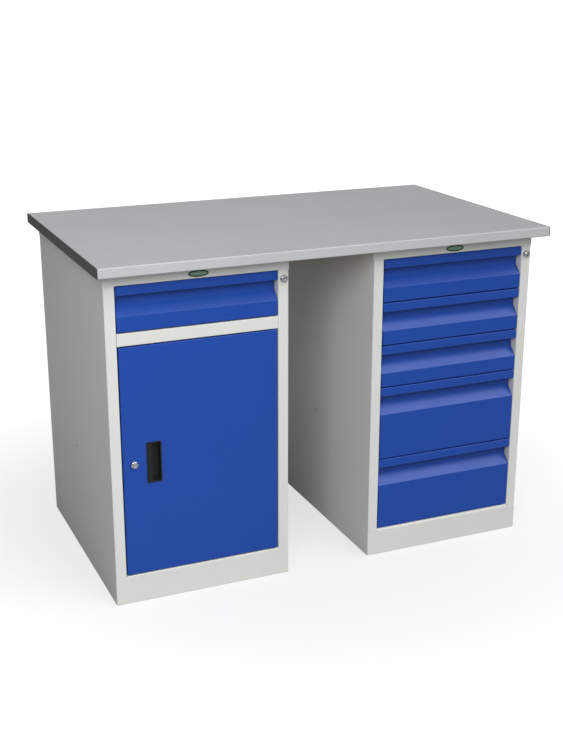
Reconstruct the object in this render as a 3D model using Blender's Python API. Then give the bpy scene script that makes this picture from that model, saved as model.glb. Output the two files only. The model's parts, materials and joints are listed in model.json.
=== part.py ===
"""Workshop bench: a steel-faced worktop on a cupboard pedestal and a drawer pedestal.

Lengths are metres, +Z is up and the front faces -Y. The origin is on the floor under the middle
of the worktop. Each pedestal is modelled in a frame of its own, carried by an empty: X runs from
its middle, Y is the depth behind its front plane and Z is the height above the floor.
"""

import math

import bmesh
import bpy
from mathutils import Matrix, Vector

MM = 0.001

# Modelling
MERGE_DISTANCE = 0.001 * MM
OVERCUT = 1 * MM
SMOOTH_ANGLE = 40
AXES_SIZE = 50 * MM
PIN_SIDES = 16
LOCK_SIDES = 24
BEND_STEPS = 3
EDGE_STEPS = 4
CAM_STEPS = 8

# Clearances
SEAT_GAP = 0.3 * MM
RUNNING_GAP = 0.8 * MM

# Folded steel sheet
SHEET = 1.2 * MM
TRAY_SHEET = 1.0 * MM
BEND = 2.0 * MM

# Worktop
WORKTOP_LENGTH = 1200 * MM
WORKTOP_DEPTH = 720 * MM
WORKTOP_THICKNESS = 25 * MM
COVER_SHEET = 1.0 * MM
COVER_BEND = 3.0 * MM
COVER_RETURN = 40 * MM
END_BAND = 2.0 * MM
FRONT_OVERHANG = 46.5 * MM
BACK_OVERHANG = 28.5 * MM
SIDE_OVERHANG = 24 * MM

# Pedestal bodies
PEDESTAL_WIDTH = 460 * MM
STILE_WIDTH = 27 * MM
JAMB_DEPTH = 26 * MM
BACK_FLANGE = 15 * MM
FLOOR_HEIGHT = 74.3 * MM
TOP_RAIL_HEIGHT = 29.4 * MM
TOP_RAIL_RETURN = 16 * MM
PLINTH_FLANGE = 20 * MM
CUPBOARD_FLOOR_LIP = 2.8 * MM
DRAWER_FLOOR_LIP = 7.6 * MM
FLOOR_BEND_MARGIN = 0.4 * MM

# Drawer fronts, each folded from one sheet with a full-width finger grip
SMALL_DRAWER = 113 * MM
LARGE_DRAWER = 198.5 * MM
SMALL_DRAWERS = 3
LARGE_DRAWERS = 2
FRONT_GAP = 3 * MM
FRONT_SIDE_GAP = 2 * MM
FRONT_FLANGE = 18 * MM
GRIP_BAND = 23 * MM
GRIP_OPENING = 50 * MM
GRIP_SLOPE = 24 * MM
GRIP_DEPTH = 22.5 * MM
GRIP_HEM = 8 * MM

# Drawer trays, their rails and the runners
TRAY_BACK_GAP = 18 * MM
TRAY_RISE = 6 * MM
TRAY_HEADROOM = 12 * MM
TRAY_HEM = 8 * MM
TRAY_WALL_INSET = 0.5 * MM
RAIL_RISE = 20 * MM
RAIL_HEIGHT = 29 * MM
RAIL_WIDTH = 8.8 * MM
RAIL_SIDE_GAP = 3.0 * MM
RAIL_FRONT_INSET = 30 * MM
RAIL_BACK_INSET = 8 * MM
RUNNER_START = 38 * MM
RUNNER_BACK_GAP = 54 * MM
RUNNER_FOOT_LEG = 14 * MM
RUNNER_FOOT_HEIGHT = 18 * MM
RUNNER_FOOT_INSET = 22 * MM

# Cupboard
MID_RAIL_HEIGHT = 31 * MM
DOOR_GAP = 3 * MM
DOOR_DEPTH = 18 * MM
SHELF_HEIGHT = 365 * MM
SHELF_LIP = 25 * MM
SHELF_SETBACK = 45 * MM
SHELF_SIDE_GAP = 1 * MM
BRACKET_LEG = 20 * MM
BRACKET_INSET = 40 * MM

# Door pivots: riveted studs that turn in the floor panel and in the middle rail
PIVOT_INSET = 9 * MM
PIVOT_DEPTH = 6.5 * MM
PIVOT_RADIUS = 2.5 * MM
PIVOT_HEAD_RADIUS = 4 * MM
PIVOT_HEAD = 1.5 * MM
PIVOT_COLLAR_RADIUS = 5 * MM
PIVOT_TIP = 3 * MM

# Door handle: a recessed cup with a lip that the fingers hook behind
HANDLE_WIDTH = 38 * MM
HANDLE_HEIGHT = 105 * MM
HANDLE_INSET = 77.5 * MM
HANDLE_RISE = 290 * MM
HANDLE_RIM = 2 * MM
HANDLE_PROUD = 1.2 * MM
HANDLE_CUP_DEPTH = 16 * MM
HANDLE_WALL = 1.6 * MM
HANDLE_LIP = 14 * MM
HANDLE_LIP_THICKNESS = 2.4 * MM
HANDLE_LIP_SET = 0.8 * MM
HANDLE_CORNER = 3 * MM

# Cam locks
LOCK_HEAD_RADIUS = 9.6 * MM
LOCK_FACE_RADIUS = 6.6 * MM
LOCK_RIM = 1.6 * MM
LOCK_BODY_RADIUS = 7.5 * MM
LOCK_BODY_LENGTH = 24 * MM
DOOR_LOCK_PROUD = 5.5 * MM
FRAME_LOCK_PROUD = 7.5 * MM
PLUG_RADIUS = 5 * MM
PLUG_PROUD = 0.5 * MM
PLUG_EDGE = 0.3 * MM
KEYWAY_WIDTH = 1.6 * MM
KEYWAY_HEIGHT = 6.5 * MM
KEYWAY_DEPTH = 5 * MM
NUT_WIDTH = 19 * MM
NUT_THICKNESS = 5 * MM
CAM_THICKNESS = 2 * MM
CAM_SETBACK = 1 * MM
CAM_HUB_RADIUS = 7 * MM
CAM_TIP_RADIUS = 5 * MM
DOOR_CAM_LENGTH = 40 * MM
DRAWER_CAM_LENGTH = 21 * MM
DOOR_LOCK_INSET = 28 * MM
FRAME_LOCK_DROP = 22.3 * MM

# Central locking of the drawer pedestal
CRANK_OFFSET = 4 * MM
CRANK_PIN_RADIUS = 2 * MM
CRANK_DISC_RADIUS = 8.5 * MM
CRANK_SLOT_SLACK = 0.6 * MM
BAR_WIDTH = 18 * MM
BAR_THICKNESS = 1.5 * MM
BAR_SETBACK = 4.6 * MM
BAR_OVERRUN = 8 * MM
CATCH_PLAY = 8 * MM
CATCH_HEIGHT = 6 * MM
CATCH_DEPTH = 5.6 * MM
CATCH_REACH = 12 * MM
CATCH_DROP = 2.5 * MM
GUIDE_HEIGHT = 12 * MM
GUIDE_REACH = 20 * MM
GUIDE_UPPER_DROP = 70 * MM
GUIDE_LOWER_RISE = 106 * MM

# Sizes that follow from the ones above
OPENING_HEIGHT = SMALL_DRAWERS * SMALL_DRAWER + LARGE_DRAWERS * LARGE_DRAWER
OPENING_TOP = FLOOR_HEIGHT + OPENING_HEIGHT
PEDESTAL_TOP = OPENING_TOP + TOP_RAIL_HEIGHT
WORKTOP_UNDERSIDE = PEDESTAL_TOP + SEAT_GAP
FRONT_Y = -WORKTOP_DEPTH / 2 + FRONT_OVERHANG
PEDESTAL_DEPTH = WORKTOP_DEPTH - FRONT_OVERHANG - BACK_OVERHANG
HALF_WIDTH = PEDESTAL_WIDTH / 2
PEDESTAL_X = WORKTOP_LENGTH / 2 - SIDE_OVERHANG - HALF_WIDTH
HALF_OPENING = HALF_WIDTH - STILE_WIDTH
SEATED_FACE = SHEET + SEAT_GAP
INNER_FACE = HALF_WIDTH - SEATED_FACE
BETWEEN_JAMBS = HALF_OPENING - SEAT_GAP
BACK_FLANGE_FACE = PEDESTAL_DEPTH - SEATED_FACE
INSIDE_BACK = BACK_FLANGE_FACE - SEATED_FACE
SIDE_TOP = PEDESTAL_TOP - SEATED_FACE
STILE_NOTCH = BEND + SEAT_GAP
CAM_FRONT = JAMB_DEPTH + CAM_SETBACK
BAR_FRONT = CAM_FRONT + SHEET + SEAT_GAP
CATCH_FRONT = BAR_FRONT + BAR_THICKNESS + CATCH_PLAY
TRAY_FRONT = GRIP_DEPTH + SEATED_FACE
TRAY_BACK = INSIDE_BACK - TRAY_BACK_GAP
TRAY_HALF = HALF_OPENING - SHEET - RAIL_SIDE_GAP - RAIL_WIDTH
RUNNER_END = INSIDE_BACK - RUNNER_BACK_GAP
STILE_MIDDLE = HALF_WIDTH - STILE_WIDTH / 2
FRAME_LOCK_HEIGHT = OPENING_TOP - FRAME_LOCK_DROP


# Meshes


def right_of(direction):
    return Vector((direction.y, -direction.x))


def turned_by(vector, angle):
    cosine, sine = math.cos(angle), math.sin(angle)
    return Vector((vector.x * cosine - vector.y * sine, vector.x * sine + vector.y * cosine))


def folded(path, sheet=SHEET, bend=BEND, steps=BEND_STEPS):
    """Closed outline of a sheet bent along a path, with the sheet to the right of the path.

    bend is the outer radius of each fold, so the side of the path that lies inside a fold
    turns at that radius less the sheet's thickness.
    """
    points = [Vector(point) for point in path]
    headings = [(after - before).normalized() for before, after in zip(points, points[1:])]
    near = [points[0]]
    far = [points[0] + right_of(headings[0]) * sheet]
    for corner, heading, leaving in zip(points[1:], headings, headings[1:]):
        turn = math.atan2(heading.cross(leaving), heading.dot(leaving))
        rightwards = turn < 0
        radius = bend if rightwards else bend - sheet
        inward = right_of(heading) if rightwards else -right_of(heading)
        centre = corner - heading * radius * math.tan(abs(turn) / 2) + inward * radius
        far_radius = radius - sheet if rightwards else radius + sheet
        for step in range(steps + 1):
            arm = turned_by(-inward, turn * step / steps)
            near.append(centre + arm * radius)
            far.append(centre + arm * far_radius)
    near.append(points[-1])
    far.append(points[-1] + right_of(headings[-1]) * sheet)
    return near + far[::-1]


def arc(centre, radius, start, end, steps):
    """Points on a circle from one angle to another, both in degrees and both included."""
    angles = [math.radians(start + (end - start) * step / steps) for step in range(steps + 1)]
    return [Vector((centre[0] + radius * math.cos(a), centre[1] + radius * math.sin(a))) for a in angles]


def rounded_rectangle(low, high, radius, steps=BEND_STEPS):
    """Outline of a rectangle whose four corners are quarter circles, from the high one round."""
    corners = (
        ((high[0] - radius, high[1] - radius), 0),
        ((low[0] + radius, high[1] - radius), 90),
        ((low[0] + radius, low[1] + radius), 180),
        ((high[0] - radius, low[1] + radius), 270),
    )
    return [point for centre, start in corners for point in arc(centre, radius, start, start + 90, steps)]


def prism(outline, axis, start, end):
    """Solid with the given outline, drawn in the plane of the two other axes, from start to end."""

    def point_at(point, along):
        if axis == "X":
            return (along, point[0], point[1])
        if axis == "Y":
            return (point[0], along, point[1])
        return (point[0], point[1], along)

    shape = bmesh.new()
    near = [shape.verts.new(point_at(point, start)) for point in outline]
    far = [shape.verts.new(point_at(point, end)) for point in outline]
    shape.faces.new(near)
    shape.faces.new(far[::-1])
    for i in range(len(outline)):
        j = (i + 1) % len(outline)
        shape.faces.new((near[j], near[i], far[i], far[j]))
    bmesh.ops.recalc_face_normals(shape, faces=shape.faces)
    return shape


def box(x, y, z):
    """Block between two values on each axis."""
    return prism([(x[0], y[0]), (x[1], y[0]), (x[1], y[1]), (x[0], y[1])], "Z", z[0], z[1])


def revolved(profile, sides):
    """Solid of revolution about Y from a closed profile of (radius, depth) points."""
    shape = bmesh.new()
    points = [shape.verts.new((radius, depth, 0)) for radius, depth in profile]
    edges = [shape.edges.new((points[i - 1], points[i])) for i in range(len(points))]
    bmesh.ops.spin(
        shape, geom=points + edges, cent=(0, 0, 0), axis=(0, 1, 0), angle=2 * math.pi,
        steps=sides, use_merge=True,
    )
    bmesh.ops.remove_doubles(shape, verts=shape.verts, dist=MERGE_DISTANCE)
    bmesh.ops.dissolve_degenerate(shape, edges=shape.edges, dist=MERGE_DISTANCE)
    bmesh.ops.recalc_face_normals(shape, faces=shape.faces)
    return shape


def rod(radius, start, end, sides):
    """Round bar about Y between two depths."""
    return revolved([(0, start), (radius, start), (radius, end), (0, end)], sides)


def moved(shape, offset):
    bmesh.ops.translate(shape, verts=shape.verts, vec=offset)
    return shape


def turned_about_x(shape, angle):
    bmesh.ops.rotate(
        shape, verts=shape.verts, cent=(0, 0, 0), matrix=Matrix.Rotation(math.radians(angle), 3, "X")
    )
    return shape


def upright(shape):
    """Turn a solid made about Y so that its depth axis points up."""
    return turned_about_x(shape, 90)


def mirrored(shape, side):
    """The shape itself for the right-hand side (1), or its mirror image in X for the left (-1)."""
    if side < 0:
        bmesh.ops.scale(shape, verts=shape.verts, vec=(-1, 1, 1))
        bmesh.ops.reverse_faces(shape, faces=shape.faces)
    return shape


def scratch_object(shape):
    mesh = bpy.data.meshes.new("scratch")
    shape.to_mesh(mesh)
    shape.free()
    thing = bpy.data.objects.new("scratch", mesh)
    bpy.context.scene.collection.objects.link(thing)
    return thing


def evaluated(thing, *others):
    """The shape of an object with its modifiers, after which it and the others are removed."""
    graph = bpy.context.evaluated_depsgraph_get()
    mesh = bpy.data.meshes.new_from_object(thing.evaluated_get(graph))
    shape = bmesh.new()
    shape.from_mesh(mesh)
    bpy.data.meshes.remove(mesh)
    for used in (thing, *others):
        bpy.data.meshes.remove(used.data)
    return shape


def combined(body, tools, operation):
    """The body joined to, or cut by, each of the tools in turn."""
    for tool in tools:
        thing = scratch_object(body)
        other = scratch_object(tool)
        modifier = thing.modifiers.new("combine", "BOOLEAN")
        modifier.operation = operation
        modifier.object = other
        body = evaluated(thing, other)
    return body


def joined(body, *tools):
    return combined(body, tools, "UNION")


def cut(body, *tools):
    return combined(body, tools, "DIFFERENCE")


def pan(low, high, open_towards):
    """Five-sided tray of folded sheet that fills a box and is open towards one signed axis."""
    axis = "XYZ".index(open_towards[1])
    sign = 1 if open_towards[0] == "+" else -1
    shape = box(*zip(low, high))
    mouth = max(shape.faces, key=lambda face: sign * face.calc_center_median()[axis])
    rim = set(mouth.edges)
    bmesh.ops.delete(shape, geom=[mouth], context="FACES_ONLY")
    folds = [edge for edge in shape.edges if edge not in rim]
    bmesh.ops.bevel(
        shape, geom=folds, offset=BEND, segments=BEND_STEPS, profile=0.5, affect="EDGES"
    )
    thing = scratch_object(shape)
    modifier = thing.modifiers.new("sheet", "SOLIDIFY")
    modifier.thickness = SHEET
    modifier.offset = -1
    modifier.use_even_offset = True
    return evaluated(thing)


# Objects


def clear_scene():
    for thing in list(bpy.data.objects):
        bpy.data.objects.remove(thing, do_unlink=True)


def material(name, colour, roughness, metallic=0.0):
    made = bpy.data.materials.get(name)
    if made:
        return made
    made = bpy.data.materials.new(name)
    made.use_nodes = True
    shader = made.node_tree.nodes["Principled BSDF"]
    shader.inputs["Base Color"].default_value = (*colour, 1)
    shader.inputs["Roughness"].default_value = roughness
    shader.inputs["Metallic"].default_value = metallic
    return made


def grey_paint():
    return material("grey_paint", (0.60, 0.61, 0.59), 0.45)


def blue_paint():
    return material("blue_paint", (0.012, 0.05, 0.28), 0.38)


def zinc():
    return material("zinc_plated_steel", (0.62, 0.63, 0.65), 0.35, 1.0)


def chrome():
    return material("chrome", (0.78, 0.78, 0.79), 0.12, 1.0)


def cover_steel():
    return material("worktop_grey", (0.42, 0.43, 0.44), 0.42)


def core_board():
    return material("worktop_board", (0.36, 0.25, 0.15), 0.75)


def dark_plastic():
    return material("dark_edging", (0.035, 0.037, 0.039), 0.5)


def black_plastic():
    return material("black_plastic", (0.008, 0.008, 0.009), 0.45)


def frame_at(name, location, parent=None):
    """Empty that carries the pieces of one assembly."""
    empty = bpy.data.objects.new(name, None)
    empty.empty_display_size = AXES_SIZE
    empty.location = location
    empty.parent = parent
    bpy.context.scene.collection.objects.link(empty)
    return empty


def piece(name, shape, finish, parent=None):
    """One named solid, with its origin on its parent's."""
    mesh = bpy.data.meshes.new(name)
    shape.to_mesh(mesh)
    shape.free()
    mesh.materials.append(finish)
    mesh.shade_smooth()
    mesh.set_sharp_from_angle(angle=math.radians(SMOOTH_ANGLE))
    thing = bpy.data.objects.new(name, mesh)
    thing.parent = parent
    bpy.context.scene.collection.objects.link(thing)
    return thing


# Worktop


def cover_outline(half_depth, bottom, top):
    """Steel folded over the board and back under its front and back edges."""
    path = [
        (-half_depth + COVER_RETURN, bottom),
        (-half_depth, bottom),
        (-half_depth, top),
        (half_depth, top),
        (half_depth, bottom),
        (half_depth - COVER_RETURN, bottom),
    ]
    return folded(path, COVER_SHEET, COVER_BEND, EDGE_STEPS)


def core_outline(half_depth, bottom, top):
    """Board that lies on the cover's returns and comes down to the underside between them."""
    inset = COVER_SHEET + SEAT_GAP
    half = half_depth - inset
    low = bottom + inset
    between = half_depth - COVER_RETURN - SEAT_GAP
    outline = rounded_rectangle((-half, low), (half, top - inset), COVER_BEND - COVER_SHEET, EDGE_STEPS)
    three_corners = 3 * (EDGE_STEPS + 1)
    foot = [(-between, low), (-between, bottom), (between, bottom), (between, low)]
    return outline[:three_corners] + foot + outline[three_corners:]


def worktop():
    bottom = WORKTOP_UNDERSIDE
    top = bottom + WORKTOP_THICKNESS
    half_depth = WORKTOP_DEPTH / 2
    half_length = WORKTOP_LENGTH / 2
    steel_end = half_length - END_BAND - SEAT_GAP
    cover = prism(cover_outline(half_depth, bottom, top), "X", -steel_end, steel_end)
    piece("worktop_cover", cover, cover_steel())
    core = prism(core_outline(half_depth, bottom, top), "X", -steel_end, steel_end)
    piece("worktop_core", core, core_board())
    band_outline = rounded_rectangle((-half_depth, bottom), (half_depth, top), COVER_BEND, EDGE_STEPS)
    for side, word in ((-1, "left"), (1, "right")):
        band = prism(band_outline, "X", side * (half_length - END_BAND), side * half_length)
        piece(f"worktop_end_band_{word}", band, dark_plastic())


# Pedestal bodies


def side_panel(side, plinth_top, lock_hole=False):
    """Folded side: back flange, panel, front stile and the jamb that returns behind it."""
    path = [
        (HALF_WIDTH - BACK_FLANGE, BACK_FLANGE_FACE),
        (HALF_WIDTH, BACK_FLANGE_FACE),
        (HALF_WIDTH, 0),
        (HALF_OPENING, 0),
        (HALF_OPENING, JAMB_DEPTH),
    ]
    panel = prism(folded(path), "Z", 0, SIDE_TOP)
    across = (HALF_OPENING - OVERCUT, HALF_WIDTH + OVERCUT)
    fold = (-OVERCUT, STILE_NOTCH)
    cutters = [
        box(across, fold, (-OVERCUT, plinth_top + SEAT_GAP)),
        box(across, fold, (OPENING_TOP - SEAT_GAP, SIDE_TOP + OVERCUT)),
    ]
    if lock_hole:
        cutters.append(lock_cutter(STILE_MIDDLE, FRAME_LOCK_HEIGHT))
    return mirrored(cut(panel, *cutters), side)


def lock_cutter(x, z):
    """Cutter for the hole that a lock body passes through."""
    cutter = rod(LOCK_BODY_RADIUS + SEAT_GAP, -OVERCUT, SHEET + OVERCUT, LOCK_SIDES)
    return moved(cutter, (x, 0, z))


def back_panel():
    half = HALF_WIDTH - SEAT_GAP
    return box((-half, half), (PEDESTAL_DEPTH - SHEET, PEDESTAL_DEPTH), (0, SIDE_TOP))


def floor_panel(plinth_top, pivot=False):
    """Bottom of the inside, folded down at the front and notched round the jambs."""
    lip_bottom = plinth_top + SEAT_GAP
    path = [(0, lip_bottom), (0, FLOOR_HEIGHT), (INSIDE_BACK, FLOOR_HEIGHT)]
    bend = FLOOR_HEIGHT - lip_bottom - FLOOR_BEND_MARGIN
    panel = prism(folded(path, SHEET, bend, EDGE_STEPS), "X", -INNER_FACE, INNER_FACE)
    height = (0, FLOOR_HEIGHT + OVERCUT)
    notch = (-OVERCUT, JAMB_DEPTH + SEAT_GAP)
    cutters = [
        box((BETWEEN_JAMBS, INNER_FACE + OVERCUT), notch, height),
        box((-INNER_FACE - OVERCUT, -BETWEEN_JAMBS), notch, height),
    ]
    if pivot:
        cutters.append(pivot_cutter(0, FLOOR_HEIGHT + OVERCUT))
    return cut(panel, *cutters)


def plinth(plinth_top, pivot=False):
    """Full-width kick plate whose top and bottom flanges fold back between the jambs."""
    path = [(PLINTH_FLANGE, 0), (0, 0), (0, plinth_top), (PLINTH_FLANGE, plinth_top)]
    plate = prism(folded(path), "X", -HALF_WIDTH, HALF_WIDTH)
    behind = (BEND, PLINTH_FLANGE + OVERCUT)
    height = (-OVERCUT, plinth_top + OVERCUT)
    cutters = [
        box((BETWEEN_JAMBS, HALF_WIDTH + OVERCUT), behind, height),
        box((-HALF_WIDTH - OVERCUT, -BETWEEN_JAMBS), behind, height),
    ]
    if pivot:
        cutters.append(pivot_cutter(plinth_top / 2, plinth_top + OVERCUT))
    return cut(plate, *cutters)


def cap():
    """Lid whose front lip is the top rail, and whose other lips lap over the body."""
    half = HALF_WIDTH + SEATED_FACE
    lid = pan((-half, 0, OPENING_TOP), (half, PEDESTAL_DEPTH + SEATED_FACE, PEDESTAL_TOP), "-Z")
    rail_return = box(
        (-BETWEEN_JAMBS, BETWEEN_JAMBS), (SHEET / 2, TOP_RAIL_RETURN),
        (OPENING_TOP + SEAT_GAP, OPENING_TOP + SEATED_FACE),
    )
    return joined(lid, rail_return)


def pedestal(name, x, floor_lip, pivot):
    """The six sheets of one body. Gives back the frame that carries the rest."""
    carrier = frame_at(f"{name}_frame", (x, FRONT_Y, 0))
    plinth_top = FLOOR_HEIGHT - floor_lip
    piece(f"{name}_side_left", side_panel(-1, plinth_top), grey_paint(), carrier)
    piece(f"{name}_side_right", side_panel(1, plinth_top, True), grey_paint(), carrier)
    piece(f"{name}_back", back_panel(), grey_paint(), carrier)
    piece(f"{name}_floor", floor_panel(plinth_top, pivot), grey_paint(), carrier)
    piece(f"{name}_plinth", plinth(plinth_top, pivot), grey_paint(), carrier)
    piece(f"{name}_cap", cap(), grey_paint(), carrier)
    return carrier


# Drawers


def drawer_front(height):
    """Front folded from one sheet: hemmed grip band, finger channel, slope and face."""
    half = HALF_OPENING - FRONT_SIDE_GAP
    band_bottom = height - GRIP_BAND
    slope_bottom = band_bottom - GRIP_OPENING
    path = [
        (FRONT_FLANGE, 0),
        (0, 0),
        (0, slope_bottom),
        (GRIP_DEPTH, slope_bottom + GRIP_SLOPE),
        (GRIP_DEPTH, height - SHEET),
        (SHEET, height - SHEET),
        (SHEET, band_bottom + SHEET),
        (GRIP_HEM, band_bottom + SHEET),
    ]
    shape = prism(folded(path), "X", -half, half)
    middle = SHEET / 2
    cheek_outline = [
        (middle, middle),
        (FRONT_FLANGE, middle),
        (FRONT_FLANGE, slope_bottom + FRONT_FLANGE * GRIP_SLOPE / GRIP_DEPTH),
        (middle, slope_bottom),
    ]
    inner = half - middle - SHEET
    cheeks = [prism(cheek_outline, "X", side * inner, side * (half - middle)) for side in (-1, 1)]
    return joined(shape, *cheeks)


def rail(side):
    """Channel along the outside of a tray, open outwards, that runs inside the runner."""
    root = TRAY_HALF - TRAY_SHEET / 2
    tip = TRAY_HALF + RAIL_WIDTH
    low = RAIL_RISE
    high = RAIL_RISE + RAIL_HEIGHT
    outline = folded([(tip, low), (root, low), (root, high), (tip, high)])
    channel = prism(outline, "Y", TRAY_FRONT + RAIL_FRONT_INSET, TRAY_BACK - RAIL_BACK_INSET)
    return mirrored(channel, side)


def catch(tray_height):
    """Block near the top of a tray's right wall that the lock holds."""
    reach = (TRAY_HALF - TRAY_SHEET / 2, TRAY_HALF + CATCH_REACH)
    top = tray_height - CATCH_DROP
    return box(reach, (CATCH_FRONT, CATCH_FRONT + CATCH_DEPTH), (top - CATCH_HEIGHT, top))


def drawer_tray(height):
    """Open tray of thin sheet with hemmed walls, two rails and a lock catch."""
    path = [
        (TRAY_HALF - TRAY_HEM, height),
        (TRAY_HALF, height),
        (TRAY_HALF, 0),
        (-TRAY_HALF, 0),
        (-TRAY_HALF, height),
        (-TRAY_HALF + TRAY_HEM, height),
    ]
    shape = prism(folded(path, TRAY_SHEET), "Y", TRAY_FRONT, TRAY_BACK)
    inside = TRAY_HALF - TRAY_SHEET / 2
    walls = []
    for start in (TRAY_FRONT + TRAY_WALL_INSET, TRAY_BACK - TRAY_WALL_INSET - TRAY_SHEET):
        depth = (start, start + TRAY_SHEET)
        walls.append(box((-inside, inside), depth, (TRAY_SHEET / 2, height - TRAY_SHEET / 2)))
    return joined(shape, *walls, rail(-1), rail(1), catch(height))


def runner(side, tray_bottom):
    """Channel that a tray's rail slides in, on two cranked feet that reach the side panel."""
    low = tray_bottom + RAIL_RISE - SEATED_FACE
    high = tray_bottom + RAIL_RISE + RAIL_HEIGHT + SEATED_FACE
    tip = TRAY_HALF + RUNNING_GAP
    path = [(tip, high), (HALF_OPENING, high), (HALF_OPENING, low), (tip, low)]
    channel = prism(folded(path), "Y", RUNNER_START, RUNNER_END)
    middle = (low + high) / 2
    bottom = middle - RUNNER_FOOT_HEIGHT / 2
    top = middle + RUNNER_FOOT_HEIGHT / 2
    near = HALF_OPENING - SHEET / 2
    far = INNER_FACE - SHEET
    front_foot = RUNNER_START + RUNNER_FOOT_INSET
    rear_foot = RUNNER_END - RUNNER_FOOT_INSET - 2 * RUNNER_FOOT_LEG
    feet = []
    for start in (front_foot, rear_foot):
        crossing = start + RUNNER_FOOT_LEG
        end = crossing + RUNNER_FOOT_LEG
        foot_path = [(near, start), (near, crossing), (far, crossing), (far, end)]
        feet.append(prism(folded(foot_path), "Z", bottom, top))
    return mirrored(joined(channel, *feet), side)


def drawer(name, carrier, slot_bottom, slot_height):
    """Front, tray and pair of runners for one slot of the opening."""
    bottom = slot_bottom + FRONT_GAP / 2
    height = slot_height - FRONT_GAP
    frame = frame_at(f"{name}_frame", (0, 0, bottom), carrier)
    piece(f"{name}_front", drawer_front(height), blue_paint(), frame)
    tray = drawer_tray(height - TRAY_RISE - TRAY_HEADROOM)
    piece(f"{name}_tray", moved(tray, (0, 0, TRAY_RISE)), grey_paint(), frame)
    for side, word in ((-1, "left"), (1, "right")):
        piece(f"{name}_runner_{word}", runner(side, bottom + TRAY_RISE), zinc(), carrier)


# Cupboard


def mid_rail(bottom, top):
    path = [(JAMB_DEPTH, bottom), (0, bottom), (0, top), (JAMB_DEPTH, top)]
    shape = prism(folded(path), "X", -BETWEEN_JAMBS, BETWEEN_JAMBS)
    return cut(shape, pivot_cutter(bottom - OVERCUT, (bottom + top) / 2))


def shelf():
    half = INNER_FACE + SEAT_GAP - SHELF_SIDE_GAP
    low = (-half, SHELF_SETBACK, SHELF_HEIGHT - SHELF_LIP)
    return pan(low, (half, INSIDE_BACK, SHELF_HEIGHT), "-Z")


def shelf_bracket(side):
    """Angle under one edge of the shelf."""
    top = SHELF_HEIGHT - SHELF_LIP - SEAT_GAP
    path = [(INNER_FACE - BRACKET_LEG, top), (INNER_FACE, top), (INNER_FACE, top - BRACKET_LEG)]
    start = SHELF_SETBACK + BRACKET_INSET
    return mirrored(prism(folded(path), "Y", start, INSIDE_BACK - BRACKET_INSET), side)


def pivot_x():
    return HALF_OPENING - DOOR_GAP - PIVOT_INSET


def pivot_cutter(bottom, top):
    cutter = rod(PIVOT_RADIUS + SEAT_GAP, 0, top - bottom, PIN_SIDES)
    return moved(upright(cutter), (pivot_x(), PIVOT_DEPTH, bottom))


def pivot_stud(direction):
    """Stud about the door's axis, from the outer face of a door flange at zero height.

    direction is 1 for the upper stud and -1 for the lower one, whose collar carries the door.
    """
    head = SHEET + SEAT_GAP
    collar = DOOR_GAP - SEAT_GAP
    tip = DOOR_GAP + SHEET + PIVOT_TIP
    profile = [
        (0, -head - PIVOT_HEAD),
        (PIVOT_HEAD_RADIUS, -head - PIVOT_HEAD),
        (PIVOT_HEAD_RADIUS, -head),
        (PIVOT_RADIUS, -head),
        (PIVOT_RADIUS, SEAT_GAP),
        (PIVOT_COLLAR_RADIUS, SEAT_GAP),
        (PIVOT_COLLAR_RADIUS, collar),
        (PIVOT_RADIUS, collar),
        (PIVOT_RADIUS, tip),
        (0, tip),
    ]
    stud = upright(revolved(profile, PIN_SIDES))
    return stud if direction > 0 else turned_about_x(stud, 180)


def door_panel(width, height, handle_x, handle_z, lock_x, lock_z):
    """Door pan, open at the back, with the apertures for its handle, lock and studs."""
    left = -width / 2
    panel = pan((left, 0, 0), (left + width, DOOR_DEPTH, height), "+Y")
    half_cup = HANDLE_WIDTH / 2 - HANDLE_RIM + SEAT_GAP
    tall_cup = HANDLE_HEIGHT / 2 - HANDLE_RIM + SEAT_GAP
    aperture = prism(
        rounded_rectangle(
            (handle_x - half_cup, handle_z - tall_cup), (handle_x + half_cup, handle_z + tall_cup),
            HANDLE_CORNER,
        ),
        "Y", -OVERCUT, BEND + OVERCUT,
    )
    return cut(
        panel, aperture, lock_cutter(lock_x, lock_z), pivot_cutter(-OVERCUT, height + OVERCUT)
    )


def door_handle():
    """Moulded cup about its own centre: a rim on the door's face, and a lip over half the cup."""
    half_width = HANDLE_WIDTH / 2
    half_height = HANDLE_HEIGHT / 2
    rim = prism(
        rounded_rectangle((-half_width, -half_height), (half_width, half_height), HANDLE_CORNER),
        "Y", -HANDLE_PROUD, -SEAT_GAP,
    )
    cup_width = half_width - HANDLE_RIM
    cup_height = half_height - HANDLE_RIM
    cup = prism(
        rounded_rectangle((-cup_width, -cup_height), (cup_width, cup_height), HANDLE_CORNER - SEAT_GAP),
        "Y", -HANDLE_PROUD / 2, HANDLE_CUP_DEPTH,
    )
    inner_width = cup_width - HANDLE_WALL
    inner_height = cup_height - HANDLE_WALL
    lip_back = HANDLE_LIP_SET + HANDLE_LIP_THICKNESS - HANDLE_PROUD
    chamber = prism(
        rounded_rectangle((-inner_width, -inner_height), (inner_width, inner_height), HANDLE_WALL),
        "Y", lip_back, HANDLE_CUP_DEPTH - HANDLE_WALL,
    )
    lip_edge = -half_width + HANDLE_LIP
    mouth = prism(
        rounded_rectangle((lip_edge, -inner_height), (inner_width, inner_height), HANDLE_WALL),
        "Y", -HANDLE_PROUD - OVERCUT, lip_back + OVERCUT,
    )
    step = prism(
        rounded_rectangle((-inner_width, -inner_height), (lip_edge + OVERCUT, inner_height), HANDLE_WALL),
        "Y", -HANDLE_PROUD - OVERCUT, -HANDLE_PROUD + HANDLE_LIP_SET,
    )
    return cut(joined(rim, cup), chamber, mouth, step)


# Locks


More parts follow.
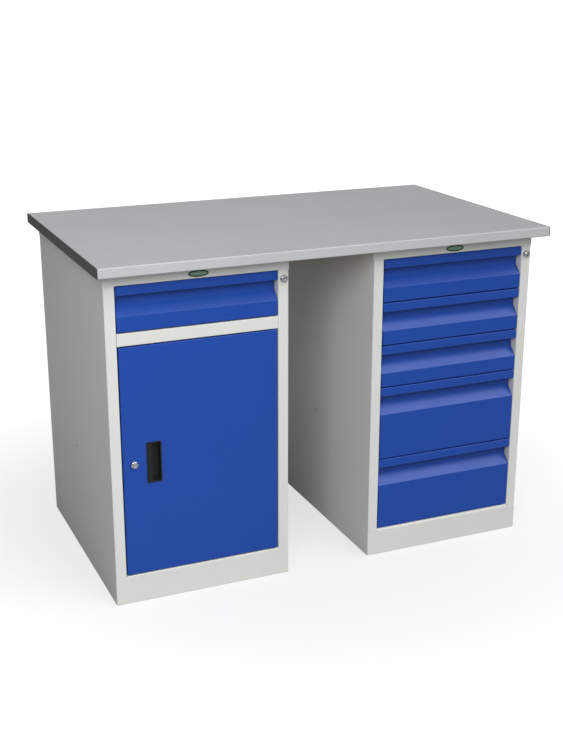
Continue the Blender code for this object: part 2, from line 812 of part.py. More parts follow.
def lock_barrel(proud):
    """Housing about its own axis: a domed head outside the sheet and a body that passes through.

    Above its rim the dome is a quarter of an ellipse, from the head's radius to the face's.
    """
    bore = PLUG_RADIUS + SEAT_GAP
    shoulder = -SEAT_GAP
    dome = []
    for unit in arc((0, 0), 1, 0, 90, EDGE_STEPS):
        radius = LOCK_FACE_RADIUS + (LOCK_HEAD_RADIUS - LOCK_FACE_RADIUS) * unit.x
        dome.append((radius, -LOCK_RIM - (proud - LOCK_RIM) * unit.y))
    profile = [
        (bore, LOCK_BODY_LENGTH),
        (LOCK_BODY_RADIUS, LOCK_BODY_LENGTH),
        (LOCK_BODY_RADIUS, shoulder),
        (LOCK_HEAD_RADIUS, shoulder),
        *dome,
        (bore, -proud),
    ]
    return revolved(profile, LOCK_SIDES)


def lock_nut():
    """Hexagon nut behind the sheet."""
    corner_radius = NUT_WIDTH / math.sqrt(3)
    front = SEATED_FACE
    back = SEATED_FACE + NUT_THICKNESS
    hole = rod(LOCK_BODY_RADIUS + SEAT_GAP, front - OVERCUT, back + OVERCUT, LOCK_SIDES)
    return cut(prism(arc((0, 0), corner_radius, 30, 330, 5), "Y", front, back), hole)


def plug(proud):
    """Keyed plug, from its face to the front of the cam."""
    front = -proud - PLUG_PROUD
    back = CAM_FRONT + SHEET / 2
    profile = [
        (0, front),
        (PLUG_RADIUS - PLUG_EDGE, front),
        (PLUG_RADIUS, front + PLUG_EDGE),
        (PLUG_RADIUS, back),
        (0, back),
    ]
    keyway = box(
        (-KEYWAY_WIDTH / 2, KEYWAY_WIDTH / 2), (front - OVERCUT, front + KEYWAY_DEPTH),
        (-KEYWAY_HEIGHT / 2, KEYWAY_HEIGHT / 2),
    )
    return cut(revolved(profile, LOCK_SIDES), keyway)


def lock_cam(proud, length):
    """Plug with a tapered cam that hangs down while the lock is open."""
    outline = arc((0, 0), CAM_HUB_RADIUS, 0, 180, CAM_STEPS)
    outline += arc((0, CAM_TIP_RADIUS - length), CAM_TIP_RADIUS, 180, 360, CAM_STEPS)
    arm = prism(outline, "Y", CAM_FRONT, CAM_FRONT + CAM_THICKNESS)
    return joined(plug(proud), arm)


def lock_crank(proud):
    """Plug with a disc whose pin drives the locking bar."""
    disc = rod(CRANK_DISC_RADIUS, CAM_FRONT, CAM_FRONT + SHEET, LOCK_SIDES)
    pin_end = BAR_FRONT + BAR_THICKNESS + RUNNING_GAP
    pin = rod(CRANK_PIN_RADIUS, CAM_FRONT + SHEET / 2, pin_end, PIN_SIDES)
    return joined(plug(proud), disc, moved(pin, (CRANK_OFFSET, 0, CRANK_OFFSET)))


def lock(name, cam, proud, x, z, carrier):
    """Barrel and nut in the sheet, and the plug on its own axis frame."""
    barrel = piece(f"{name}_barrel", lock_barrel(proud), chrome(), carrier)
    nut = piece(f"{name}_nut", lock_nut(), zinc(), carrier)
    for fixed in (barrel, nut):
        fixed.location = (x, 0, z)
    axis = frame_at(f"{name}_axis", (x, 0, z), carrier)
    piece(f"{name}_cam", cam, chrome(), axis)


def locking_bar():
    """Flat bar that stands on the floor panel, with an upright slot for the crank's pin.

    The pin moves it sideways behind the jamb, until it stands in front of every catch.
    """
    left = HALF_OPENING + BAR_SETBACK
    back = BAR_FRONT + BAR_THICKNESS
    slack = CRANK_PIN_RADIUS + CRANK_SLOT_SLACK
    slot_middle = STILE_MIDDLE + CRANK_OFFSET
    slot_bottom = FRAME_LOCK_HEIGHT + CRANK_OFFSET - slack
    slot_top = FRAME_LOCK_HEIGHT + CRANK_OFFSET * math.sqrt(2) + slack
    height = (FLOOR_HEIGHT + SEAT_GAP, slot_top + BAR_OVERRUN)
    bar = box((left, left + BAR_WIDTH), (BAR_FRONT, back), height)
    slot = prism(
        rounded_rectangle(
            (slot_middle - slack, slot_bottom), (slot_middle + slack, slot_top), CRANK_PIN_RADIUS
        ),
        "Y", BAR_FRONT - OVERCUT, back + OVERCUT,
    )
    return cut(bar, slot)


def bar_guide(height):
    """Clip on the side panel that the locking bar slides in."""
    front = BAR_FRONT - SEATED_FACE
    back = BAR_FRONT + BAR_THICKNESS + SEATED_FACE
    tip = INNER_FACE - GUIDE_REACH
    path = [(tip, back), (INNER_FACE, back), (INNER_FACE, front), (tip, front)]
    return prism(folded(path, SHEET, SHEET + SEAT_GAP), "Z", height, height + GUIDE_HEIGHT)


# Assemblies


def cupboard_pedestal():
    name = "cupboard"
    carrier = pedestal(name, -PEDESTAL_X, CUPBOARD_FLOOR_LIP, pivot=True)
    slot_bottom = OPENING_TOP - SMALL_DRAWER
    drawer(f"{name}_drawer", carrier, slot_bottom, SMALL_DRAWER)
    rail_top = slot_bottom - FRONT_GAP / 2
    rail_bottom = rail_top - MID_RAIL_HEIGHT
    piece(f"{name}_mid_rail", mid_rail(rail_bottom, rail_top), grey_paint(), carrier)
    piece(f"{name}_shelf", shelf(), grey_paint(), carrier)
    for side, word in ((-1, "left"), (1, "right")):
        piece(f"{name}_shelf_bracket_{word}", shelf_bracket(side), zinc(), carrier)
    cam = lock_cam(FRAME_LOCK_PROUD, DRAWER_CAM_LENGTH)
    lock(f"{name}_lock", cam, FRAME_LOCK_PROUD, STILE_MIDDLE, FRAME_LOCK_HEIGHT, carrier)
    cupboard_door(carrier, rail_bottom)


def cupboard_door(carrier, opening_top):
    bottom = FLOOR_HEIGHT + DOOR_GAP
    height = opening_top - DOOR_GAP - bottom
    width = 2 * (HALF_OPENING - DOOR_GAP)
    handle_x = -width / 2 + HANDLE_INSET
    lock_x = -width / 2 + DOOR_LOCK_INSET
    hinge = frame_at("door_hinge_axis", (pivot_x(), PIVOT_DEPTH, bottom), carrier)
    panel = door_panel(width, height, handle_x, HANDLE_RISE, lock_x, HANDLE_RISE)
    to_hinge = Vector((-pivot_x(), -PIVOT_DEPTH, 0))
    piece("door_panel", moved(panel, to_hinge), blue_paint(), hinge)
    handle = piece("door_handle", door_handle(), black_plastic(), hinge)
    handle.location = to_hinge + Vector((handle_x, 0, HANDLE_RISE))
    piece("door_stud_lower", pivot_stud(-1), blue_paint(), hinge)
    upper = piece("door_stud_upper", pivot_stud(1), blue_paint(), hinge)
    upper.location = (0, 0, height)
    face = frame_at("door_face_frame", to_hinge, hinge)
    cam = lock_cam(DOOR_LOCK_PROUD, DOOR_CAM_LENGTH)
    lock("door_lock", cam, DOOR_LOCK_PROUD, lock_x, HANDLE_RISE, face)


def drawer_pedestal():
    name = "drawer_unit"
    carrier = pedestal(name, PEDESTAL_X, DRAWER_FLOOR_LIP, pivot=False)
    slots = [SMALL_DRAWER] * SMALL_DRAWERS + [LARGE_DRAWER] * LARGE_DRAWERS
    slot_bottom = OPENING_TOP
    for number, slot_height in enumerate(slots, 1):
        slot_bottom -= slot_height
        drawer(f"drawer{number}", carrier, slot_bottom, slot_height)
    crank = lock_crank(FRAME_LOCK_PROUD)
    lock(f"{name}_lock", crank, FRAME_LOCK_PROUD, STILE_MIDDLE, FRAME_LOCK_HEIGHT, carrier)
    piece("locking_bar", locking_bar(), zinc(), carrier)
    piece("bar_guide_upper", bar_guide(FRAME_LOCK_HEIGHT - GUIDE_UPPER_DROP), zinc(), carrier)
    piece("bar_guide_lower", bar_guide(FLOOR_HEIGHT + GUIDE_LOWER_RISE), zinc(), carrier)


def main():
    clear_scene()
    worktop()
    cupboard_pedestal()
    drawer_pedestal()


main()
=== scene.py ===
"""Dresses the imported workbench: finishes, bare plates, lock heads, rivets and a studio.

Lengths are metres, +Z is up and the drawer fronts face -Y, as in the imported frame.
"""

import json
import math

import bmesh
import bpy
import numpy as np
from bpy.props import FloatProperty, FloatVectorProperty, IntProperty, PointerProperty
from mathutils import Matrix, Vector

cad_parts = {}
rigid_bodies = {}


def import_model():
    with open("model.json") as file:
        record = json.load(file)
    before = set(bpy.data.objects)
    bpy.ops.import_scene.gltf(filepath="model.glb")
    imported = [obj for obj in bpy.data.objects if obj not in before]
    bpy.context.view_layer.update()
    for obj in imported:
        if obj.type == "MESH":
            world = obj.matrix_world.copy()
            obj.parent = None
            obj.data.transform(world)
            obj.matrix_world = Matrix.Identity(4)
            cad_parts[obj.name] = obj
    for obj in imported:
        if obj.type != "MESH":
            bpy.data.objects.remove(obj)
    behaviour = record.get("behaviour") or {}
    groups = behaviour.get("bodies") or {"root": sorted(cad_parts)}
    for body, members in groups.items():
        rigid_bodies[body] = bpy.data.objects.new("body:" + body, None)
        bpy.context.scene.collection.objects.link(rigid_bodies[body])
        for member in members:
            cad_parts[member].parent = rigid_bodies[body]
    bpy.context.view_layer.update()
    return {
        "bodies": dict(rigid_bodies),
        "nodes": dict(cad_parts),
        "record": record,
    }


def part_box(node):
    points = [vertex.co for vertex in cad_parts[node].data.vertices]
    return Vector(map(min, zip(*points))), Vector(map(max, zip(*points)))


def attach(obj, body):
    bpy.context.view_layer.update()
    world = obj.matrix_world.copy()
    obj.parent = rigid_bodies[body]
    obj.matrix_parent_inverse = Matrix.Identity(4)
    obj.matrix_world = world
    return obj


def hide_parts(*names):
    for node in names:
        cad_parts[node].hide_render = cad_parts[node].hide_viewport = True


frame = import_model()

bl_info = {
    "name": "Workbench dressing",
    "version": (1, 0, 0),
    "blender": (4, 5, 0),
    "location": "View3D > Sidebar > Workbench",
    "description": "Finishes, plates, lock heads, rivets and a studio for a workshop bench",
    "category": "Object",
}

MM = 0.001
WELD_DISTANCE = 0.002 * MM
FOLD_ANGLE = math.radians(40)
LOCK_ANGLE = math.radians(30)

# Share of the light that the two paints mirror
GREY_SHEEN = 0.35
BLUE_SHEEN = 0.34

# A lock's bore, body and front face as shares of its head's radius, and its depths from the sheet
LOCK_BORE, LOCK_BODY, LOCK_FACE = 0.552, 0.78, 0.69
LOCK_SHOULDER, LOCK_RIM, LOCK_CHAMFER = -0.3 * MM, -1.6 * MM, 0.25 * MM
DOME_STEPS = 14

PLATE_SIDES = 96

# Rivets: distance from the back's side edges, from a sheet's ends, along a tray's front wall, and
# from that wall's outer face to its inner one
BACK_EDGE = 8 * MM
RIVET_MARGIN = 45 * MM
TRAY_SPACING = 110 * MM
TRAY_WALL = 1.5 * MM
PLUG_HEIGHT = 0.5 * MM

# Lights of the world: where each lies from the bench, and the cosines between which it rises
WIDE_AIM, WIDE_EDGES = (0.15, -0.75, 0.60), (-0.15, 1.0)
PANEL_AIM, PANEL_EDGES = (0.38, -0.52, 0.77), (0.82, 0.97)
BACK_AIM, BACK_EDGES = (-0.10, 0.45, 0.88), (0.60, 0.95)

KEY_PLACE = Vector((-1.5, -2.4, 2.0))
KEY_SIZE = (1.3, 1.3)
BENCH_MIDDLE = Vector((0, 0, 0.5))
# Distances from the floor's middle, under the bench, over which its glow rises to full: the dimmer
# glow near the bench is painted shade
FLOOR_SHADE_FADE = (0.45, 2.0)

SLOT_OF = {part["node"]: part["material_slot"] for part in frame["record"]["subparts"]}
BODY_OF = {
    node: body for body, nodes in frame["record"]["behaviour"]["bodies"].items() for node in nodes
}


# Settings that a user would change


class PaintSettings(bpy.types.PropertyGroup):
    """Powder coat on the sheet metal."""

    frame_colour: FloatVectorProperty(
        name="Frame colour", description="Powder coat of the pedestals", subtype="COLOR",
        size=3, min=0, max=1, default=(0.600, 0.605, 0.578),
    )
    front_colour: FloatVectorProperty(
        name="Front colour", description="Powder coat of the drawer fronts and the door",
        subtype="COLOR", size=3, min=0, max=1, default=(0.007, 0.052, 0.310),
    )
    frame_roughness: FloatProperty(
        name="Frame roughness", description="Mean roughness of the pedestal paint",
        subtype="FACTOR", min=0, max=1, default=0.42,
    )
    front_roughness: FloatProperty(
        name="Front roughness", description="Mean roughness of the front paint",
        subtype="FACTOR", min=0, max=1, default=0.36,
    )
    peel_size: FloatProperty(
        name="Orange peel size", description="Width of one ripple of the powder coat",
        unit="LENGTH", min=0.0001, default=1.5 * MM,
    )
    peel_depth: FloatProperty(
        name="Orange peel depth", description="Depth of the ripples of the powder coat",
        unit="LENGTH", min=0, default=0.012 * MM,
    )


class WorktopSettings(bpy.types.PropertyGroup):
    """Steel face, board and edging of the worktop."""

    face_colour: FloatVectorProperty(
        name="Face colour", description="Coating of the steel face", subtype="COLOR",
        size=3, min=0, max=1, default=(0.415, 0.426, 0.434),
    )
    edging_colour: FloatVectorProperty(
        name="Edging colour", description="Plastic bands on the two ends", subtype="COLOR",
        size=3, min=0, max=1, default=(0.048, 0.050, 0.052),
    )
    board_colour: FloatVectorProperty(
        name="Board colour", description="Fibreboard core seen from below", subtype="COLOR",
        size=3, min=0, max=1, default=(0.30, 0.20, 0.115),
    )
    face_roughness: FloatProperty(
        name="Face roughness", description="Mean roughness of the steel face",
        subtype="FACTOR", min=0, max=1, default=0.45,
    )


class HardwareSettings(bpy.types.PropertyGroup):
    """Locks, handle and zinc-plated parts."""

    chrome_colour: FloatVectorProperty(
        name="Chrome colour", description="Plating of the locks", subtype="COLOR",
        size=3, min=0, max=1, default=(0.62, 0.62, 0.63),
    )
    zinc_colour: FloatVectorProperty(
        name="Zinc colour", description="Plating of runners, brackets and the locking bar",
        subtype="COLOR", size=3, min=0, max=1, default=(0.60, 0.61, 0.62),
    )
    handle_colour: FloatVectorProperty(
        name="Handle colour", description="Moulded plastic of the door handle", subtype="COLOR",
        size=3, min=0, max=1, default=(0.005, 0.006, 0.006),
    )
    lock_sides: IntProperty(
        name="Lock sides", description="Facets round a lock head", min=12, default=96,
    )
    edge_round: FloatProperty(
        name="Handle rounding", description="Radius of the handle's moulded edges",
        unit="LENGTH", min=0, default=0.35 * MM,
    )


class PlateSettings(bpy.types.PropertyGroup):
    """Bare oval plates on the top rails."""

    length: FloatProperty(
        name="Length", description="Length of the oval", unit="LENGTH", default=51 * MM,
    )
    height: FloatProperty(
        name="Height", description="Height of the oval", unit="LENGTH", default=16.5 * MM,
    )
    thickness: FloatProperty(
        name="Thickness", description="How far the rim stands off the rail", unit="LENGTH",
        default=0.9 * MM,
    )
    rim: FloatProperty(
        name="Rim", description="Width of the raised rim", unit="LENGTH", default=3.6 * MM,
    )
    rise: FloatProperty(
        name="Rise", description="Height of the plate's middle above the rail's middle",
        unit="LENGTH", default=-3.5 * MM,
    )
    rim_colour: FloatVectorProperty(
        name="Rim colour", description="Enamel of the rim", subtype="COLOR",
        size=3, min=0, max=1, default=(0.010, 0.040, 0.020),
    )
    field_colour: FloatVectorProperty(
        name="Field colour", description="Bare field inside the rim", subtype="COLOR",
        size=3, min=0, max=1, default=(0.20, 0.34, 0.24),
    )


class FastenerSettings(bpy.types.PropertyGroup):
    """Rivets of the backs and trays, and plugs of the side panels."""

    radius: FloatProperty(
        name="Rivet radius", description="Radius of a rivet's head", unit="LENGTH",
        min=0.0005, default=3.0 * MM,
    )
    height: FloatProperty(
        name="Rivet height", description="Height of a rivet's head", unit="LENGTH",
        min=0.0001, default=1.0 * MM,
    )
    plug_radius: FloatProperty(
        name="Plug radius", description="Radius of the dark plugs in the side panels",
        unit="LENGTH", min=0.0005, default=2.7 * MM,
    )
    plug_place: FloatVectorProperty(
        name="Plug place", description="Depth and height of the plugs in the side panels",
        subtype="TRANSLATION", size=2, default=(23 * MM, 305 * MM),
    )
    back_spacing: FloatProperty(
        name="Back spacing", description="Greatest distance between rivets along the back",
        unit="LENGTH", min=0.01, default=150 * MM,
    )


class StudioSettings(bpy.types.PropertyGroup):
    """Camera, floor and light."""

    camera_place: FloatVectorProperty(
        name="Camera place", description="Where the camera stands", subtype="TRANSLATION",
        size=3, default=(-1.2614272, -2.9365621, 1.487949),
    )
    camera_pitch: FloatProperty(
        name="Camera pitch", description="How far the camera looks down", subtype="ANGLE",
        default=0.3193,
    )
    camera_heading: FloatProperty(
        name="Camera heading", description="Turn of the camera about the vertical",
        subtype="ANGLE", default=-0.4057,
    )
    camera_lens: FloatProperty(
        name="Camera lens", description="Focal length in millimetres", min=1, default=58.47,
    )
    floor_colour: FloatVectorProperty(
        name="Floor colour", description="Plain pale floor", subtype="COLOR",
        size=3, min=0, max=1, default=(0.20, 0.20, 0.20),
    )
    floor_glow: FloatProperty(
        name="Floor glow", description="Light of the floor's own that softens its shadows",
        min=0, default=0.672,
    )
    floor_bounce: FloatProperty(
        name="Floor bounce", subtype="FACTOR", min=0, max=1, default=0.40,
        description="Share of the light that the floor throws back on the bench",
    )
    floor_size: FloatProperty(
        name="Floor size", description="Width of the floor", unit="LENGTH", default=240.0,
    )
    sky_low: FloatProperty(
        name="Sky low", description="Light from behind the bench", min=0, default=0.10,
    )
    sky_high: FloatProperty(
        name="Sky high", description="Light from the front", min=0, default=0.20,
    )
    key_power: FloatProperty(
        name="Key power", description="Power of the key light in watts", min=0, default=51.0,
    )
    panel_glow: FloatProperty(
        name="Panel glow", description="Light of the bright panel high at the front right", min=0,
        default=4.0,
    )
    back_glow: FloatProperty(
        name="Back glow", description="Soft light from above and behind the bench", min=0,
        default=0.30,
    )


# Meshes


def finished(name, vertices, faces, smooth_angle=FOLD_ANGLE):
    """Object from arrays of vertices and faces, with its doubles merged and faces pointing out."""
    mesh = bpy.data.meshes.new(name)
    mesh.from_pydata(np.asarray(vertices, float).tolist(), [], np.asarray(faces, int).tolist())
    shape = bmesh.new()
    shape.from_mesh(mesh)
    bmesh.ops.remove_doubles(shape, verts=shape.verts, dist=WELD_DISTANCE)
    bmesh.ops.dissolve_degenerate(shape, edges=shape.edges, dist=WELD_DISTANCE)
    bmesh.ops.recalc_face_normals(shape, faces=shape.faces)
    shape.to_mesh(mesh)
    shape.free()
    mesh.shade_smooth()
    mesh.set_sharp_from_angle(angle=smooth_angle)
    thing = bpy.data.objects.new(name, mesh)
    bpy.context.scene.collection.objects.link(thing)
    return thing


def grid_faces(rows, columns):
    """Quads of a grid whose last column meets its first: each joins a cell's four corners."""
    row, column = np.meshgrid(np.arange(rows - 1), np.arange(columns), indexing="ij")
    beside = (column + 1) % columns
    corners = (row * columns + column, row * columns + beside, (row + 1) * columns + beside,
               (row + 1) * columns + column)
    return np.stack(corners, axis=-1).reshape(-1, 4)


def turned(profile, centre, sides):
    """Grid of a solid of revolution about Y.

    A profile point (radius r, depth d) at angle a lies at centre + (r cos a, d, r sin a), and the
    profile is a closed loop whose last point is its first again.
    """
    profile = np.asarray(profile, float)
    angles = np.arange(sides) * 2 * math.pi / sides
    radius = profile[:, :1]
    depth = profile[:, 1:] + 0 * angles
    points = np.stack((radius * np.cos(angles), depth, radius * np.sin(angles)), axis=-1)
    return (points + np.asarray(centre)).reshape(-1, 3), grid_faces(len(profile), sides)


def oval(rings, centre, sides):
    """Grid of a plate whose rings are ovals that face -Y.

    A ring (half length a, half height b, stand-off h) at angle t lies at
    centre + (a cos t, -h, b sin t).
    """
    rings = np.asarray(rings, float)
    angles = np.arange(sides) * 2 * math.pi / sides
    x = rings[:, :1] * np.cos(angles)
    z = rings[:, 1:2] * np.sin(angles)
    y = -rings[:, 2:] + 0 * angles
    points = np.stack((x, y, z), axis=-1) + np.asarray(centre)
    return points.reshape(-1, 3), grid_faces(len(rings), sides)


def domes(places, direction, radius, height, rings=5, sides=16):
    """Rivet heads at several places, all facing one way, as one set of arrays.

    Ring k of n lies at a quarter turn q = k/n * 90 degrees: its radius is R cos q and its height
    H sin q, and a skirt of no height below it closes the head against its sheet.
    """
    quarter = np.linspace(0, math.pi / 2, rings)
    radii = np.concatenate(([0], radius * np.cos(quarter)))
    heights = np.concatenate(([0], height * np.sin(quarter)))
    angles = np.arange(sides) * 2 * math.pi / sides
    out = np.asarray(direction, float)
    across = np.array([out[1], out[2], out[0]])
    along = np.cross(out, across)
    head = (
        (radii[:, None] * np.cos(angles))[..., None] * across
        + (radii[:, None] * np.sin(angles))[..., None] * along
        + heights[:, None, None] * out
    ).reshape(-1, 3)
    places = np.asarray(places, float)
    points = (places[:, None, :] + head[None]).reshape(-1, 3)
    faces = grid_faces(rings + 1, sides)
    steps = np.arange(len(places)) * len(head)
    return points, (faces[None] + steps[:, None, None]).reshape(-1, 4)


def wear(thing, finish):
    """Give a new piece its material."""
    thing.data.materials.clear()
    thing.data.materials.append(finish)
    return thing


def folded_copy(node, name):
    """Copy of a node with its corners merged and its bends shaded smooth, which stands for it."""
    mesh = frame["nodes"][node].data.copy()
    mesh.name = name
    shape = bmesh.new()
    shape.from_mesh(mesh)
    bmesh.ops.remove_doubles(shape, verts=shape.verts, dist=WELD_DISTANCE)
    shape.to_mesh(mesh)
    shape.free()
    for layer in list(mesh.attributes):
        if layer.name == "custom_normal":
            mesh.attributes.remove(layer)
    mesh.shade_smooth()
    mesh.set_sharp_from_angle(angle=FOLD_ANGLE)
    thing = bpy.data.objects.new(name, mesh)
    bpy.context.scene.collection.objects.link(thing)
    flats = thing.modifiers.new("flat_faces", "WEIGHTED_NORMAL")
    flats.keep_sharp = True
    flats.weight = 100
    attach(thing, BODY_OF[node])
    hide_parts(node)
    return thing


# Shader helpers


def new_material(name, constants):
    """Material with a Principled BSDF whose sockets hold the given constants."""
    made = bpy.data.materials.new(name)
    made.use_nodes = True
    shader = made.node_tree.nodes["Principled BSDF"]
    for title, value in constants.items():
        shader.inputs[title].default_value = value
    return made, made.node_tree, shader


def add(tree, kind, **values):
    """Node of one kind with its properties, or its inputs by title, set from keywords."""
    made = tree.nodes.new(kind)
    for key, value in values.items():
        if hasattr(made, key):
            setattr(made, key, value)
        else:
            made.inputs[key.replace("_", " ").title()].default_value = value
    return made


def join(tree, start, end):
    tree.links.new(start, end)


def new_group(name, inputs, outputs):
    """Node group with float inputs, given with their defaults, and float outputs."""
    group = bpy.data.node_groups.new(name, "ShaderNodeTree")
    for title, default in inputs.items():
        socket = group.interface.new_socket(title, in_out="INPUT", socket_type="NodeSocketFloat")
        socket.default_value = default
    for title in outputs:
        group.interface.new_socket(title, in_out="OUTPUT", socket_type="NodeSocketFloat")
    return group, add(group, "NodeGroupInput"), add(group, "NodeGroupOutput")


def ripples(group, place, size_socket, detail):
    """Noise whose features are about as wide as a length that comes in on a socket."""
    scale = add(group, "ShaderNodeMath", operation="DIVIDE")
    scale.inputs[0].default_value = 1
    join(group, size_socket, scale.inputs[1])
    noise = add(group, "ShaderNodeTexNoise", detail=detail)
    join(group, place, noise.inputs["Vector"])
    join(group, scale.outputs[0], noise.inputs["Scale"])
    return noise.outputs["Fac"]


def coat_group():
    """Powder coat: ripples for the height, slow clouds for tone, and smudges for the gloss."""
    made = bpy.data.node_groups.get("powder_coat")
    if made:
        return made
    inputs = {"Ripple Size": 1.5 * MM, "Cloud Size": 0.35, "Smudge Size": 0.06}
    group, start, end = new_group("powder_coat", inputs, ("Height", "Cloud", "Smudge"))
    place = add(group, "ShaderNodeTexCoord").outputs["Object"]
    height = ripples(group, place, start.outputs["Ripple Size"], 2)
    cloud = ripples(group, place, start.outputs["Cloud Size"], 3)
    smudge = ripples(group, place, start.outputs["Smudge Size"], 5)
    join(group, height, end.inputs["Height"])
    join(group, cloud, end.inputs["Cloud"])
    join(group, smudge, end.inputs["Smudge"])
    return group


def brushed_group():
    """Fine lines along one axis: noise squeezed across them, for rolled and brushed metal."""
    made = bpy.data.node_groups.get("brushed_lines")
    if made:
        return made
    inputs = {"Line Width": 0.3 * MM, "Line Length": 0.03}
    group, start, end = new_group("brushed_lines", inputs, ("Lines", "Cloud"))
    place = add(group, "ShaderNodeTexCoord").outputs["Object"]
    split = add(group, "ShaderNodeSeparateXYZ")
    join(group, place, split.inputs[0])
    scaled = add(group, "ShaderNodeCombineXYZ")
    for axis, width in (("X", "Line Width"), ("Y", "Line Length"), ("Z", "Line Width")):
        share = add(group, "ShaderNodeMath", operation="DIVIDE")
        join(group, split.outputs[axis], share.inputs[0])
        join(group, start.outputs[width], share.inputs[1])
        join(group, share.outputs[0], scaled.inputs[axis])
    lines = add(group, "ShaderNodeTexNoise", detail=3, scale=1.0)
    join(group, scaled.outputs[0], lines.inputs["Vector"])
    cloud = add(group, "ShaderNodeTexNoise", detail=4, scale=22.0)
    join(group, place, cloud.inputs["Vector"])
    join(group, lines.outputs["Fac"], end.inputs["Lines"])
    join(group, cloud.outputs["Fac"], end.inputs["Cloud"])
    return group


def mask_range(tree, mask, low, high):
    """A mask between its usual 0.3 and 0.7 spread over a new range."""
    spread = add(tree, "ShaderNodeMapRange")
    for title, value in (("From Min", 0.3), ("From Max", 0.7), ("To Min", low), ("To Max", high)):
        spread.inputs[title].default_value = value
    join(tree, mask, spread.inputs["Value"])
    return spread.outputs["Result"]


def toned(tree, mask, colour, change):
    """Colour that a mask takes from a little darker to a little lighter."""
    mix = add(tree, "ShaderNodeMix", data_type="RGBA")
    mix.inputs["A"].default_value = (*(channel * (1 - change) for channel in colour), 1)
    mix.inputs["B"].default_value = (*(channel * (1 + change) for channel in colour), 1)
    join(tree, mask_range(tree, mask, 0, 1), mix.inputs["Factor"])
    return mix.outputs["Result"]


def bump(tree, shader, height, depth):
    """Normal from a height mask that is worth a depth in metres."""
    made = add(tree, "ShaderNodeBump", distance=depth)
    made.inputs["Strength"].default_value = 1
    join(tree, height, made.inputs["Height"])
    join(tree, made.outputs["Normal"], shader.inputs["Normal"])


# Finishes


def powder_coat(name, colour, roughness, settings, sheen, tone=0.02):
    made, tree, shader = new_material(name, {"Specular IOR Level": sheen})
    coat = add(tree, "ShaderNodeGroup", node_tree=coat_group())
    coat.inputs["Ripple Size"].default_value = settings.peel_size
    join(tree, toned(tree, coat.outputs["Cloud"], colour, tone), shader.inputs["Base Color"])
    gloss = mask_range(tree, coat.outputs["Smudge"], roughness - 0.04, roughness + 0.05)
    join(tree, gloss, shader.inputs["Roughness"])
    bump(tree, shader, coat.outputs["Height"], settings.peel_depth)
    return made


def steel_face(colour, roughness):
    made, tree, shader = new_material("worktop_face", {"Specular IOR Level": 0.4})
    coat = add(tree, "ShaderNodeGroup", node_tree=coat_group())
    for title, value in (("Ripple Size", 0.7 * MM), ("Cloud Size", 0.25), ("Smudge Size", 0.11)):
        coat.inputs[title].default_value = value
    lines = add(tree, "ShaderNodeGroup", node_tree=brushed_group())
    lines.inputs["Line Width"].default_value = 0.8 * MM
    lines.inputs["Line Length"].default_value = 0.09
    join(tree, toned(tree, coat.outputs["Cloud"], colour, 0.025), shader.inputs["Base Color"])
    gloss = add(tree, "ShaderNodeMath", operation="MULTIPLY_ADD")
    gloss.inputs[1].default_value = 0.06
    join(tree, lines.outputs["Lines"], gloss.inputs[0])
    smudge = mask_range(tree, coat.outputs["Smudge"], roughness - 0.06, roughness + 0.03)
    join(tree, smudge, gloss.inputs[2])
    join(tree, gloss.outputs[0], shader.inputs["Roughness"])
    bump(tree, shader, coat.outputs["Height"], 0.006 * MM)
    return made


def fibreboard(colour):
    made, tree, shader = new_material("worktop_fibreboard", {"Specular IOR Level": 0.2})
    coat = add(tree, "ShaderNodeGroup", node_tree=coat_group())
    for title, value in (("Ripple Size", 1.2 * MM), ("Cloud Size", 0.012), ("Smudge Size", 0.004)):
        coat.inputs[title].default_value = value
    join(tree, toned(tree, coat.outputs["Smudge"], colour, 0.22), shader.inputs["Base Color"])
    join(tree, mask_range(tree, coat.outputs["Cloud"], 0.7, 0.9), shader.inputs["Roughness"])
    bump(tree, shader, coat.outputs["Height"], 0.08 * MM)
    return made


def moulded_plastic(name, colour, roughness):
    """Plastic with a fine spark-eroded texture."""
    made, tree, shader = new_material(name, {"Specular IOR Level": 0.4})
    coat = add(tree, "ShaderNodeGroup", node_tree=coat_group())
    for title, value in (("Ripple Size", 0.45 * MM), ("Cloud Size", 0.05), ("Smudge Size", 0.02)):
        coat.inputs[title].default_value = value
    join(tree, toned(tree, coat.outputs["Cloud"], colour, 0.08), shader.inputs["Base Color"])
    gloss = mask_range(tree, coat.outputs["Smudge"], roughness - 0.05, roughness + 0.06)
    join(tree, gloss, shader.inputs["Roughness"])
    bump(tree, shader, coat.outputs["Height"], 0.02 * MM)
    return made


def plated(name, colour, low, high, depth):
    """Plated metal: brushed lines and clouds vary its gloss between two roughnesses."""
    made, tree, shader = new_material(name, {"Metallic": 1.0})
    lines = add(tree, "ShaderNodeGroup", node_tree=brushed_group())
    join(tree, toned(tree, lines.outputs["Cloud"], colour, 0.06), shader.inputs["Base Color"])
    join(tree, mask_range(tree, lines.outputs["Lines"], low, high), shader.inputs["Roughness"])
    bump(tree, shader, lines.outputs["Lines"], depth)
    return made


